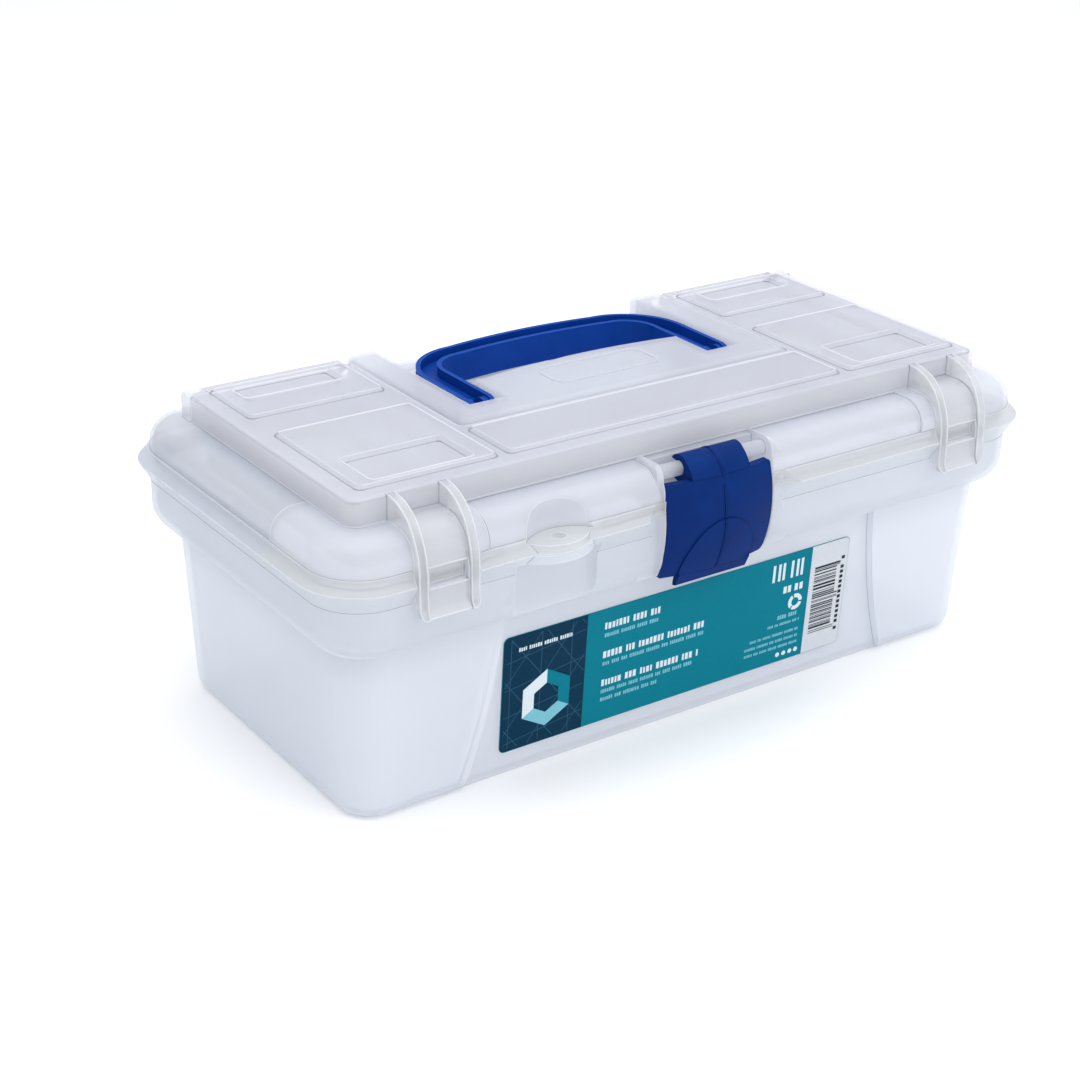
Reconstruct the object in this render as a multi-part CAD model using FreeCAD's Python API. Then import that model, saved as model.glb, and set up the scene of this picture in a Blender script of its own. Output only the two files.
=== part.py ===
import FreeCAD, Part
import math
import os

# Translucent snap-lid art supply box, 12 inches long, with storage under a clear cover in its lid.
# Millimetres. X runs along the length, the front faces -Y, +Z is up. The origin is the centre of
# the bottom face that the box stands on.

V = FreeCAD.Vector

# ---- overall size -------------------------------------------------------------------------------
RIM_HX, RIM_HY, RIM_R = 152.5, 76.45, 22.0      # half sizes and corner radius over the rim's edge
PARTING_Z = 90.0                                # plane between tub and lid
PARTING_GAP = 0.3
DECK_Z = 114.5                                  # top of the storage cover
PLATEAU_Z = 115.9                               # top of the raised middle of the lid

WALL = 1.8                                      # wall of tub and lid
COVER_WALL = 1.6
RUN = 0.08                                      # radial clearance of every pivot
GAP = 0.4                                       # clearance between parts that move past each other

# ---- tub ----------------------------------------------------------------------------------------
TUB_HX, TUB_HY, TUB_R = 137.2, 61.1, 12.0       # outer half sizes at the bottom
DRAFT = 0.0496                                  # outward lean of the walls, mm per mm
TUB_WALL_TOP = 68.0
TUB_BOTTOM_ROUND = 5.0
COLLAR_INSET = 3.9                              # collar's outer face, in from the rim's edge
COLLAR_Z = 63.0
COLLAR_ROUND = 11.0
RIM_SLOPE_Z = 83.0                              # where the rim's lower slope meets the collar
PANEL_DEPTH = 3.1                               # front and back panels are sunk between the pillars
PANEL_HALF_TOP, PANEL_HALF_MID, PANEL_HALF_LOW = 81.5, 86.5, 96.0

# ---- lid ----------------------------------------------------------------------------------------
DOME_INSET, DOME_Z, DOME_ROUND = 3.6, 105.0, 9.0
RIM_TOP_INSET, RIM_TOP_Z = 3.3, 94.3            # where the rim's upper slope meets the dome
SINK, CORNER_X, CORNER_Y = 0.6, 94.0, 30.5      # the dome's front corners stand proud beyond X and -Y
GROOVE_W, GROOVE_DEPTH = 0.9, 0.45
SINK_X, SINK_Y = 134.9, 56.6                    # how far in they reach, under the cover
TONGUE_DEPTH, TONGUE_T = 3.4, 1.6
WELL_Z = 91.6                                   # floor of the storage wells in the lid
WELL_TOP = 112.2
WELL_T = 1.6
WELL_X1, WELL_X0 = 133.2, 79.6                  # outer faces of an end well, in X
WELL_FRONT, WELL_BACK = -55.2, 50.0             # outer faces of the wells, in Y
CHANNEL_BACK = -25.0
PLATEAU_HX, PLATEAU_FRONT, PLATEAU_BACK = 72.0, -22.6, 56.4
PLATEAU_ROUND = 3.2

# ---- handle -------------------------------------------------------------------------------------
HANDLE_HX, HANDLE_IN = 57.5, 46.6               # arm's outer and inner faces, in X
HANDLE_Y, HANDLE_Z = -1.5, 108.7                # pivot
HANDLE_H = 11.0
HANDLE_RIM, HANDLE_WEB = 1.4, 2.2
GRIP_OUT_END, GRIP_OUT_MID, GRIP_OUT_R = 47.6, 50.1, 25.0
GRIP_IN_END, GRIP_IN_MID, GRIP_IN_R = 38.6, 41.0, 12.0
HANDLE_PIN_R, HANDLE_PIN_L = 2.0, 2.6
SLOT_HX, SLOT_IN = 58.2, 45.9                   # handle's slot in the plateau
FINGER_END, FINGER_MID, FINGER_BACK = 10.9, 15.0, 52.0
SLOT_Z, FINGER_Z = 102.6, 97.4

# ---- latch --------------------------------------------------------------------------------------
LATCH_HX, LATCH_NECK_HX, LATCH_LIP_HX = 23.0, 12.4, 15.5
LATCH_Y, LATCH_Z = -65.0, 101.4                 # the bar it turns on
LATCH_BAR_R, LATCH_BARREL_R = 2.6, 4.7
LATCH_T, LATCH_CORNER = 2.2, 1.4
LATCH_TOP, LATCH_BOTTOM = (-70.6, 99.0), (-69.2, 64.4)  # face at its two side edges
LATCH_MID = (-73.4, 83.6)
LATCH_CROWN, LATCH_HOLLOW = 3.0, 1.8            # how far its face and its back bulge at the middle
ARCH_HX, ARCH_RISE, ARCH_Z, ARCH_LIFT = 16.0, 19.5, 64.6, 0.45
LINE_HX, LINE_LIFT = 0.4, 0.2                    # fine line down the middle of its face
BAY_HX, BAY_BACK_LID, BAY_BACK_TUB = 23.6, -59.9, -64.4
CHEEK_X, CHEEK_FOOT_X, CHEEK_TOP, CHEEK_TOP_R = 26.4, 33.0, 106.3, 4.5

# ---- cover --------------------------------------------------------------------------------------
COVER_HX, COVER_FRONT, COVER_R = 135.7, -57.45, 5.0
COVER_BACK = 50.0                               # back end of the end skirts
COVER_T = 1.8
SKIRT_Z = 105.4
CUT_HX, CUT_FRONT = 72.7, -23.2                 # cut-out that clears the plateau
BARREL_Y, BARREL_Z, BARREL_R = 54.8, 111.6, 2.9
BARREL_X0, BARREL_X1 = 74.6, 128.3
COVER_PIN_R, COVER_PIN_L = 1.5, 3.4
PAD_H, PAD_BEVEL = 1.2, 1.3
STRAP_X, STRAP_HX, RIB_T = 111.0, 11.0, 3.0
STRAP_END_Z, STRAP_END_R = 78.6, 3.2

# ---- padlock tabs -------------------------------------------------------------------------------
LOCK_X, LOCK_Y, LOCK_HOLE_R = -67.5, -73.4, 2.5
LOCK_T = 3.0
LOCK_HX, LOCK_TUB_HX, LOCK_FRONT = 12.8, 15.5, -80.3
NICHE_BACK_LID, NICHE_BACK_TUB, NICHE_R = -67.4, -69.6, 17.0

# ---- back hinge ---------------------------------------------------------------------------------
HINGE_Y, HINGE_Z, HINGE_R = 81.0, 90.0, 3.8
HINGE_X, HINGE_LID_HX, HINGE_HX = 92.0, 9.0, 20.0
HINGE_PIN_R = 1.6

# ---- label --------------------------------------------------------------------------------------
LABEL_X, LABEL_HX, LABEL_Z0, LABEL_Z1, LABEL_T = -2.6, 77.0, 8.4, 53.4, 0.25


def rounded_wire(hx, hy, r, z, cx=0.0, cy=0.0):
    """Closed rectangle with round corners, lying at height z."""
    r = max(r, 0.5)
    k = r * (1.0 - math.sqrt(0.5))
    edges = []
    corners = [(1, -1), (1, 1), (-1, 1), (-1, -1)]
    for i, (sx, sy) in enumerate(corners):
        along_y = (cx + sx * hx, cy + sy * (hy - r))
        along_x = (cx + sx * (hx - r), cy + sy * hy)
        first, last = (along_x, along_y) if sx == -sy else (along_y, along_x)
        mid = (cx + sx * (hx - k), cy + sy * (hy - k))
        edges.append(Part.Arc(V(*first, z), V(*mid, z), V(*last, z)).toShape())
        nx, ny = corners[(i + 1) % 4]
        if nx == -ny:
            follow = (cx + nx * (hx - r), cy + ny * hy)
        else:
            follow = (cx + nx * hx, cy + ny * (hy - r))
        edges.append(Part.LineSegment(V(*last, z), V(*follow, z)).toShape())
    return Part.Wire(edges)


def slab(x0, x1, y0, y1, z0, z1, r=0.0):
    """Upright block between two corners, with round vertical edges when r is given."""
    if r <= 0:
        return Part.makeBox(x1 - x0, y1 - y0, z1 - z0, V(x0, y0, z0))
    wire = rounded_wire((x1 - x0) / 2, (y1 - y0) / 2, r, z0, (x0 + x1) / 2, (y0 + y1) / 2)
    return Part.Face(wire).extrude(V(0, 0, z1 - z0))


def tapered(lower, upper):
    """Solid between two rounded rectangles, each (hx, hy, r, z)."""
    return Part.makeLoft([rounded_wire(*lower), rounded_wire(*upper)], True, True)


def round_edges_at(shape, z, radius):
    """Round the horizontal edges that lie at height z."""
    edges = [e for e in shape.Edges if abs(e.BoundBox.ZMin - z) < 1e-4 and abs(e.BoundBox.ZMax - z) < 1e-4]
    return shape.makeFillet(radius, edges)


def side_profile(path, x0, x1):
    """Extrude an outline in Y and Z along X. A path step is a point, or an arc as (via, end)."""
    edges = []
    here = path[0]
    for step in path[1:] + [path[0]]:
        if isinstance(step[0], tuple):
            via, end = step
            edges.append(Part.Arc(V(x0, *here), V(x0, *via), V(x0, *end)).toShape())
        else:
            end = step
            edges.append(Part.LineSegment(V(x0, *here), V(x0, *end)).toShape())
        here = end
    return Part.Face(Part.Wire(edges)).extrude(V(x1 - x0, 0, 0))


def plan_prism(points, z0, z1):
    """Extrude a polygon drawn in X and Y upwards."""
    vectors = [V(x, y, z0) for x, y in points]
    return Part.Face(Part.makePolygon(vectors + vectors[:1])).extrude(V(0, 0, z1 - z0))


def rod(radius, x0, x1, y, z):
    """Cylinder along X."""
    return Part.makeCylinder(radius, x1 - x0, V(x0, y, z), V(1, 0, 0))


def mirrored(shape):
    """The same shape on the other side of the middle."""
    return shape.mirror(V(0, 0, 0), V(1, 0, 0))


def both_sides(shape):
    return [shape, mirrored(shape)]


def rim_rect(inset, z):
    return (RIM_HX - inset, RIM_HY - inset, RIM_R - inset, z)


def panel_y(z, thick=0.0):
    """Y of the sunk front panel's face at height z."""
    return -(TUB_HY - PANEL_DEPTH - thick) - DRAFT * z


def sunk_panel(thick):
    """Space in front of the sunk front panel; thick moves its faces in by a wall."""
    top, mid, low = (half + thick for half in (PANEL_HALF_TOP, PANEL_HALF_MID, PANEL_HALF_LOW))
    y = -90.0
    z_low, z_mid, z_top = -1.0, 31.0, TUB_WALL_TOP
    right = Part.Arc(V(low, y, z_low), V(mid, y, z_mid), V(top, y, z_top)).toShape()
    left = Part.Arc(V(-top, y, z_top), V(-mid, y, z_mid), V(-low, y, z_low)).toShape()
    over = Part.LineSegment(V(top, y, z_top), V(-top, y, z_top)).toShape()
    under = Part.LineSegment(V(-low, y, z_low), V(low, y, z_low)).toShape()
    outline = Part.Face(Part.Wire([right, over, left, under])).extrude(V(0, 60, 0))
    path = [(y, z_low), (panel_y(z_low, thick), z_low), (panel_y(z_top, thick), z_top), (y, z_top)]
    front = side_profile(path, -110, 110)
    return outline.common(front)


def tub_body(thick):
    """Tapered body of the tub, moved in by thick on every side."""
    z0 = thick
    lean = DRAFT * TUB_WALL_TOP
    lower = (TUB_HX - thick, TUB_HY - thick, TUB_R - thick / 2, z0)
    upper = (TUB_HX + lean - thick, TUB_HY + lean - thick, TUB_R + 1.5 - thick / 2, TUB_WALL_TOP)
    body = round_edges_at(tapered(lower, upper), z0, TUB_BOTTOM_ROUND - thick)
    front = sunk_panel(thick)
    back = front.mirror(V(0, 0, 0), V(0, 1, 0))
    return body.cut([front, back])


def tub_collar(thick, top):
    """Flared collar that carries the rim, moved in by thick."""
    hx, hy, r, z = rim_rect(COLLAR_INSET + thick, COLLAR_Z + thick)
    block = slab(-hx, hx, -hy, hy, z, top, r)
    return round_edges_at(block, z, COLLAR_ROUND - thick)


def latch_arc():
    """Circle that the latch's side edges and the cheeks follow, seen from the side."""
    return Part.Arc(V(0, *LATCH_TOP), V(0, *LATCH_MID), V(0, *LATCH_BOTTOM)).toShape().Curve


def cheek_front():
    """Front view of both cheeks, whose upper outer corners are round."""
    hx, r, y = CHEEK_X, CHEEK_TOP_R, -85
    k = r * (1.0 - math.sqrt(0.5))
    shoulder = CHEEK_TOP - r
    right = Part.Arc(V(hx, y, shoulder), V(hx - k, y, CHEEK_TOP - k), V(hx - r, y, CHEEK_TOP)).toShape()
    left = Part.Arc(V(r - hx, y, CHEEK_TOP), V(k - hx, y, CHEEK_TOP - k), V(-hx, y, shoulder)).toShape()
    over = Part.LineSegment(V(hx - r, y, CHEEK_TOP), V(r - hx, y, CHEEK_TOP)).toShape()
    foot = CHEEK_FOOT_X
    rest = Part.makePolygon([V(-hx, y, shoulder), V(-foot, y, shoulder - 6), V(-foot, y, 60), V(foot, y, 60),
                             V(foot, y, shoulder - 6), V(hx, y, shoulder)])
    return Part.Face(Part.Wire([right, over, left] + list(rest.Edges))).extrude(V(0, 40, 0))


def cheek(z0, z1, top_round):
    """Right-hand cheek beside the latch between two heights."""
    arc = latch_arc()

    def face_y(z):
        return arc.Center.y - math.sqrt(arc.Radius ** 2 - (z - arc.Center.z) ** 2) - 0.2

    middle = (z0 + z1) / 2
    path = [(-58.0, z0), (face_y(z0), z0), ((face_y(middle), middle), (face_y(z1), z1))]
    if top_round:
        path.append(((-69.4, 104.6), (LATCH_Y, CHEEK_TOP)))
        path.append((-58.0, CHEEK_TOP))
    else:
        path.append((-58.0, z1))
    plan = [(BAY_HX, -57), (BAY_HX, -80), (CHEEK_X, -80), (CHEEK_X, -73.4), (CHEEK_FOOT_X, -71.0),
            (CHEEK_FOOT_X, -57)]
    block = side_profile(path, BAY_HX, CHEEK_FOOT_X).common(plan_prism(plan, z0 - 1, 110))
    return block.common(cheek_front())


def rim_gap(z0, z1):
    """Where the rim fades out towards the cheeks."""
    return plan_prism([(-34, -80), (34, -80), (34, -77), (28, -72.9), (-28, -72.9), (-34, -77)], z0, z1)


def lock_tab(half, z0):
    """Rounded tab with room for a padlock's shackle."""
    foot = -62.0
    side = LOCK_Y + 1.0
    left, right = LOCK_X - half, LOCK_X + half
    arc = Part.Arc(V(right, side, z0), V(LOCK_X, LOCK_FRONT, z0), V(left, side, z0)).toShape()
    corners = [V(left, side, z0), V(left, foot, z0), V(right, foot, z0), V(right, side, z0)]
    wire = Part.Wire([arc] + list(Part.makePolygon(corners).Edges))
    return Part.Face(wire).extrude(V(0, 0, LOCK_T))


def lock_hole(z0, z1):
    return Part.makeCylinder(LOCK_HOLE_R, z1 - z0, V(LOCK_X, LOCK_Y, z0))


def hinge_eye(x0, x1, path):
    """Eye around the hinge pin, with an arm whose outline is path."""
    return rod(HINGE_R, x0, x1, HINGE_Y, HINGE_Z).fuse(side_profile(path, x0, x1))


def arched_niche(grow, z0):
    """Upright scoop over the lid's padlock tab; it meets the dome in an arch."""
    centre = V(LOCK_X, NICHE_BACK_LID - NICHE_R, z0)
    return Part.makeCylinder(NICHE_R + grow, 125 - z0, centre)


def strap_notch(back, z0, z1):
    """Room in the rim for one clip strap."""
    return slab(STRAP_X - STRAP_HX - 0.7, STRAP_X + STRAP_HX + 0.7, -82, back, z0, z1)


def make_tub():
    top = PARTING_Z - PARTING_GAP / 2
    rim = tapered(rim_rect(COLLAR_INSET, RIM_SLOPE_Z), rim_rect(0, top))
    outer = tub_body(0).fuse([tub_collar(0, top), rim])
    notches = both_sides(strap_notch(-(RIM_HY - COLLAR_INSET), RIM_SLOPE_Z - 4, PARTING_Z + 1))
    outer = outer.cut(notches + [rim_gap(RIM_SLOPE_Z - 4, PARTING_Z + 1)])
    outer = outer.fuse(both_sides(cheek(66.0, top, False)))

    bay = [slab(-BAY_HX, BAY_HX, -90, BAY_BACK_TUB, 58, 91)]
    bay_skin = slab(-BAY_HX - WALL, BAY_HX + WALL, -90, BAY_BACK_TUB + WALL, 58, 92)
    niche_hx = LOCK_TUB_HX + 0.8
    tab_z = top - LOCK_T
    niche = slab(LOCK_X - niche_hx, LOCK_X + niche_hx, -90, NICHE_BACK_TUB, 58, tab_z, 3.0)
    niche_skin = slab(LOCK_X - niche_hx - WALL, LOCK_X + niche_hx + WALL, -90, NICHE_BACK_TUB + WALL, 58, 92)

    cavity = tub_body(WALL).fuse(tub_collar(WALL, PARTING_Z + 2)).cut([bay_skin, niche_skin])
    tub = outer.cut(bay + [niche]).fuse(lock_tab(LOCK_TUB_HX, tab_z)).cut(cavity)

    foot_y = BAY_BACK_TUB + 0.5
    catch = [(foot_y, 70.5), (-66.2, 70.5), (-67.6, 68.8), (-67.6, 66.6), (foot_y, 66.6)]
    tub = tub.fuse(side_profile(catch, -10, 10)).cut(lock_hole(tab_z - 1, top + 1))
    for side in (-1, 1):
        for x in (side * HINGE_X - HINGE_HX, side * HINGE_X + HINGE_LID_HX + GAP):
            width = HINGE_HX - HINGE_LID_HX - GAP
            foot = [(HINGE_Y + HINGE_R, HINGE_Z), (HINGE_Y + HINGE_R, 87.5), (72.0, 76.0), (72.0, 86.0),
                    (HINGE_Y - HINGE_R, HINGE_Z)]
            tub = tub.fuse(hinge_eye(x, x + width, foot))
        tub = tub.cut(rod(HINGE_PIN_R, side * HINGE_X - 25, side * HINGE_X + 25, HINGE_Y, HINGE_Z))
    return tub


def lid_dome(thick, bottom):
    hx, hy, r, z = rim_rect(DOME_INSET + thick, bottom)
    block = slab(-hx, hx, -hy, hy, z, DOME_Z - thick, r)
    return round_edges_at(block, DOME_Z - thick, DOME_ROUND - thick)


def panelled_dome(bottom):
    """Dome whose front corners stand proud of the rest, with a groove along their edges."""
    low, high = RIM_TOP_Z - 1, DOME_Z + 1
    groove_x, groove_y = CORNER_X - GROOVE_W, GROOVE_W - CORNER_Y
    front = slab(-CORNER_X, CORNER_X, -80, -SINK_Y, low, high)
    back = slab(-160, 160, SINK_Y, 80, low, high)
    end = slab(SINK_X, 160, -CORNER_Y, 80, low, high)
    front_line = slab(groove_x, CORNER_X, -80, -SINK_Y, low, high)
    end_line = slab(SINK_X, 160, -CORNER_Y, groove_y, low, high)
    dome = lid_dome(0, bottom)
    for panels, depth in (([front, back] + both_sides(end), SINK),
                          (both_sides(front_line) + both_sides(end_line), SINK + GROOVE_DEPTH)):
        sunk = lid_dome(depth, bottom)
        dome = dome.cut([panel.cut(sunk) for panel in panels])
    return dome


def plateau(thick, bottom):
    """Raised middle of the lid: two bars and the part between the handle's arms."""
    hx = PLATEAU_HX - thick
    block = slab(-hx, hx, PLATEAU_FRONT + thick, PLATEAU_BACK - thick, bottom, PLATEAU_Z - thick, 4.0 - thick)
    inner = SLOT_HX + thick
    behind_grip = slab(-inner, inner, FINGER_BACK + thick, 80, DOME_Z - thick, 120)
    return block.cut([handle_room(thick), behind_grip])


def handle_room(grow):
    """Slots for the folded handle's arms and the finger well in front of its grip."""
    arm = slab(SLOT_IN - grow, SLOT_HX + grow, HANDLE_Y - 6.0 - grow, FINGER_BACK + grow, SLOT_Z - grow, 120)
    half, floor, back = SLOT_IN + grow, FINGER_Z - grow, FINGER_BACK + grow
    end, mid = FINGER_END - grow, FINGER_MID - grow
    front = Part.Arc(V(-half, end, floor), V(0, mid, floor), V(half, end, floor)).toShape()
    corners = [(half, end), (half, back), (-half, back), (-half, end)]
    rest = Part.makePolygon([V(x, y, floor) for x, y in corners])
    well = Part.Face(Part.Wire([front] + list(rest.Edges))).extrude(V(0, 0, 120 - floor))
    return well.fuse(both_sides(arm))


def storage_well(inset):
    """One end well and the front channel, as blocks moved in by inset."""
    z0 = WELL_Z - WELL_T + inset
    top = WELL_TOP if inset == 0 else 125.0
    end = slab(WELL_X0 + inset, WELL_X1 - inset, WELL_FRONT + inset, WELL_BACK - inset, z0, top, 7.0 - inset)
    half = WELL_X0 + WELL_T - inset
    channel = slab(-half, half, WELL_FRONT + inset, CHANNEL_BACK - inset, z0, top, 5.0 - inset)
    return [end, mirrored(end), channel]


def lid_corner_lug():
    """Holds the outer end of the cover's hinge barrel."""
    x0, x1 = BARREL_X1 + GAP, COVER_HX
    post = slab(x0, x1, BARREL_Y - BARREL_R, BARREL_Y + BARREL_R, DOME_Z - 1, BARREL_Z)
    return rod(BARREL_R, x0, x1, BARREL_Y, BARREL_Z).fuse(post)


def make_lid():
    bottom = PARTING_Z + PARTING_GAP / 2
    rim = tapered(rim_rect(0, bottom), rim_rect(RIM_TOP_INSET, RIM_TOP_Z))
    outer = panelled_dome(bottom).fuse(rim)
    notches = both_sides(strap_notch(-(RIM_HY - DOME_INSET), 88, RIM_TOP_Z + 1))
    outer = outer.cut(notches + [rim_gap(88, RIM_TOP_Z + 1)])
    middle = round_edges_at(plateau(0, DOME_Z - 3), PLATEAU_Z, PLATEAU_ROUND)
    outer = outer.fuse([middle] + both_sides(cheek(bottom, 99.0, True)))
    blocks = storage_well(0)
    outer = outer.fuse(blocks)

    niche = arched_niche(0, bottom + LOCK_T)
    niche_skin = arched_niche(WALL, 80)
    bay = slab(-BAY_HX, BAY_HX, -90, BAY_BACK_LID, 80, 120)
    bay_skin = slab(-BAY_HX - WALL, BAY_HX + WALL, -90, BAY_BACK_LID + WALL, 80, 120)
    cavity = lid_dome(WALL, 80).fuse(plateau(WALL, DOME_Z - 6))
    cavity = cavity.cut(blocks + [handle_room(WALL), niche_skin, bay_skin])
    lid = outer.fuse(lock_tab(LOCK_HX, bottom)).cut([cavity, handle_room(0), niche, bay] + storage_well(WELL_T))

    lid = lid.fuse(tongue(bottom))

    lid = lid.fuse(rod(LATCH_BAR_R, -BAY_HX - 1, BAY_HX + 1, LATCH_Y, LATCH_Z))
    lid = lid.fuse(both_sides(lid_corner_lug()) + both_sides(strap_catch()) + [emblem_frame()])
    for side in (-1, 1):
        arm = [(72.0, bottom), (HINGE_Y, bottom), (HINGE_Y, HINGE_Z + HINGE_R), (76.0, 95.2), (72.6, 96.0)]
        x = side * HINGE_X
        lid = lid.fuse(hinge_eye(x - HINGE_LID_HX, x + HINGE_LID_HX, arm))
        lid = lid.cut(rod(HINGE_PIN_R + RUN, x - 12, x + 12, HINGE_Y, HINGE_Z))
    bores = [rod(HANDLE_PIN_R + RUN, -62.5, 62.5, HANDLE_Y, HANDLE_Z)]
    pin_end = BARREL_X1 + COVER_PIN_L + 0.3
    bores += both_sides(rod(COVER_PIN_R + RUN, 68.0, pin_end, BARREL_Y, BARREL_Z))
    bores.append(lock_hole(bottom - 1, bottom + LOCK_T + 1))
    return lid.cut(handle_bore_limit(bores[0])).cut(bores[1:])


def tongue(bottom):
    """Rib around the lid's edge that drops inside the tub's rim."""
    outside = COLLAR_INSET + WALL + GAP
    inside = outside + TONGUE_T
    low, high = PARTING_Z - TONGUE_DEPTH, bottom + 2.2
    drop = slab(*span(outside), low, high, RIM_R - outside)
    root = slab(*span(DOME_INSET + WALL / 2), bottom, high, RIM_R - DOME_INSET - WALL / 2)
    hollow = slab(*span(inside), low - 1, high + 1, RIM_R - inside)
    niche_half = LOCK_TUB_HX + 0.8 + 2 * WALL
    gaps = [slab(-BAY_HX - 2 * WALL, BAY_HX + 2 * WALL, -80, -50, low - 1, high + 1),
            slab(LOCK_X - niche_half, LOCK_X + niche_half, -80, -50, low - 1, high + 1)]
    return drop.fuse(root).cut([hollow] + gaps)


def handle_bore_limit(bore):
    """Keep the handle's two bores out of the middle of the plateau."""
    return bore.cut(slab(-SLOT_HX + 1, SLOT_HX - 1, -20, 20, 100, 120))


def span(inset):
    return (-RIM_HX + inset, RIM_HX - inset, -RIM_HY + inset, RIM_HY - inset)


def strap_catch():
    """Bump that the window of a clip strap snaps over."""
    wall_y = -(RIM_HY - DOME_INSET) + 0.3
    path = [(wall_y, 90.7), (-72.95, 90.3), (-72.95, 88.8), (-73.9, 88.6), (-74.3, 89.4), (-73.6, 94.4),
            (wall_y, 94.8)]
    return side_profile(path, STRAP_X - 6.3, STRAP_X + 6.3)


def emblem_frame():
    """Plain raised outline in the middle of the plateau."""
    z = PLATEAU_Z - 0.3
    ring = slab(-23, 23, -10.4, 6.6, z, PLATEAU_Z + 0.45, 5.0)
    return ring.cut(slab(-21.8, 21.8, -9.2, 5.4, z - 1, PLATEAU_Z + 1, 3.8))


def pad(x0, x1, y0, y1):
    """Raised pad on the cover with bevelled sides."""
    hx, hy = (x1 - x0) / 2, (y1 - y0) / 2
    cx, cy = (x0 + x1) / 2, (y0 + y1) / 2
    lower = rounded_wire(hx, hy, 2.5, DECK_Z - 0.2, cx, cy)
    upper = rounded_wire(hx - PAD_BEVEL, hy - PAD_BEVEL, 1.6, DECK_Z + PAD_H, cx, cy)
    return Part.makeLoft([lower, upper], True, True)


def pad_hollow(x0, x1, y0, y1):
    """Sunk rectangle in a pad."""
    hx, hy = (x1 - x0) / 2, (y1 - y0) / 2
    cx, cy = (x0 + x1) / 2, (y0 + y1) / 2
    depth = 1.7
    top = DECK_Z + PAD_H + 0.1
    upper = rounded_wire(hx, hy, 2.4, top, cx, cy)
    lower = rounded_wire(hx - 1.5, hy - 1.5, 1.4, top - depth, cx, cy)
    return Part.makeLoft([lower, upper], True, True)


def strap_outline(ribs):
    """Side view of a clip strap: its thin web, or one of its tall ribs."""
    if ribs:
        return [(COVER_FRONT + 1.0, DECK_Z - 0.6), (COVER_FRONT, DECK_Z - 0.3),
                ((-67.0, 111.6), (-73.2, 105.0)), ((-75.7, 98.8), (-76.6, 91.0)), (-77.0, 82.0),
                ((-77.4, 80.2), (-78.1, STRAP_END_Z)), (-76.9, STRAP_END_Z - 0.7),
                ((-75.2, 80.0), (-74.4, 82.4)), (-73.6, 86.0), (-73.3, 96.0), ((-70.6, 102.7), (-63.9, 105.45)),
                (COVER_FRONT + 1.0, 105.45)]
    return [(COVER_FRONT + 1.0, 107.0), (-64.2, 107.0), ((-71.9, 103.6), (-74.9, 96.8)), (-76.1, 92.0),
            (-76.3, 82.0), ((-76.6, 80.2), (-77.7, STRAP_END_Z)), (-76.7, STRAP_END_Z - 0.6),
            ((-75.2, 80.0), (-74.7, 82.0)), (-74.6, 92.0), (-73.4, 96.4), ((-70.8, 102.5), (-64.2, 105.45)),
            (COVER_FRONT + 1.0, 105.45)]


def strap_front(x0, x1, z0, r):
    """Front view of a strap with two round lower corners, as a block along Y."""
    k = r * (1.0 - math.sqrt(0.5))
    y, top = -85, 120
    left = Part.Arc(V(x0, y, z0 + r), V(x0 + k, y, z0 + k), V(x0 + r, y, z0)).toShape()
    right = Part.Arc(V(x1 - r, y, z0), V(x1 - k, y, z0 + k), V(x1, y, z0 + r)).toShape()
    foot = Part.LineSegment(V(x0 + r, y, z0), V(x1 - r, y, z0)).toShape()
    rest = Part.makePolygon([V(x1, y, z0 + r), V(x1, y, top), V(x0, y, top), V(x0, y, z0 + r)])
    return Part.Face(Part.Wire([left, foot, right] + list(rest.Edges))).extrude(V(0, 40, 0))


def clip_strap():
    """Strap at the front of the cover that snaps over the lid's edge."""
    x0, x1 = STRAP_X - STRAP_HX, STRAP_X + STRAP_HX
    strap = side_profile(strap_outline(False), x0 + 0.8, x1 - 0.8)
    for x in (x0, x1 - RIB_T):
        strap = strap.fuse(side_profile(strap_outline(True), x, x + RIB_T))
    window = slab(STRAP_X - 7.3, STRAP_X + 7.3, -80, -70, 88.2, 95.0)
    return strap.cut(window).common(strap_front(x0, x1, STRAP_END_Z - 0.7, STRAP_END_R))


def make_cover():
    front, back = COVER_FRONT, COVER_BACK
    shell = slab(-COVER_HX, COVER_HX, front, back + 20, SKIRT_Z, DECK_Z, COVER_R)
    shell = round_edges_at(shell, DECK_Z, 1.2)
    inner = COVER_HX - COVER_WALL
    hollow = slab(-inner, inner, front + COVER_WALL, back + 20, SKIRT_Z - 1, DECK_Z - COVER_T,
                  COVER_R - COVER_WALL)
    shell = shell.cut([hollow, slab(-150, 150, back, 90, 90, 130)])
    barrel_arm = slab(BARREL_X0, BARREL_X1, back - 2, BARREL_Y, DECK_Z - COVER_T, DECK_Z)
    barrel = rod(BARREL_R, BARREL_X0, BARREL_X1, BARREL_Y, BARREL_Z)
    pin = rod(COVER_PIN_R, BARREL_X0 - COVER_PIN_L, BARREL_X1 + COVER_PIN_L, BARREL_Y, BARREL_Z)
    for piece in (barrel_arm, barrel, pin):
        shell = shell.fuse(both_sides(piece))

    pads = both_sides(pad(75.6, 129.0, -51.5, 4.0)) + both_sides(pad(75.6, 129.0, 19.4, 50.6))
    pads.append(pad(-72.3, 72.3, -51.5, -25.4))
    shell = shell.fuse(pads)
    hollows = both_sides(pad_hollow(83.0, 122.2, -48.6, -27.0))
    hollows += both_sides(pad_hollow(83.0, 122.2, 35.0, 48.6))
    shell = shell.cut(hollows)

    shell = shell.cut(slab(-CUT_HX, CUT_HX, CUT_FRONT, 90, 90, 130, 3.0))
    return shell.fuse(both_sides(clip_strap()))


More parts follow.
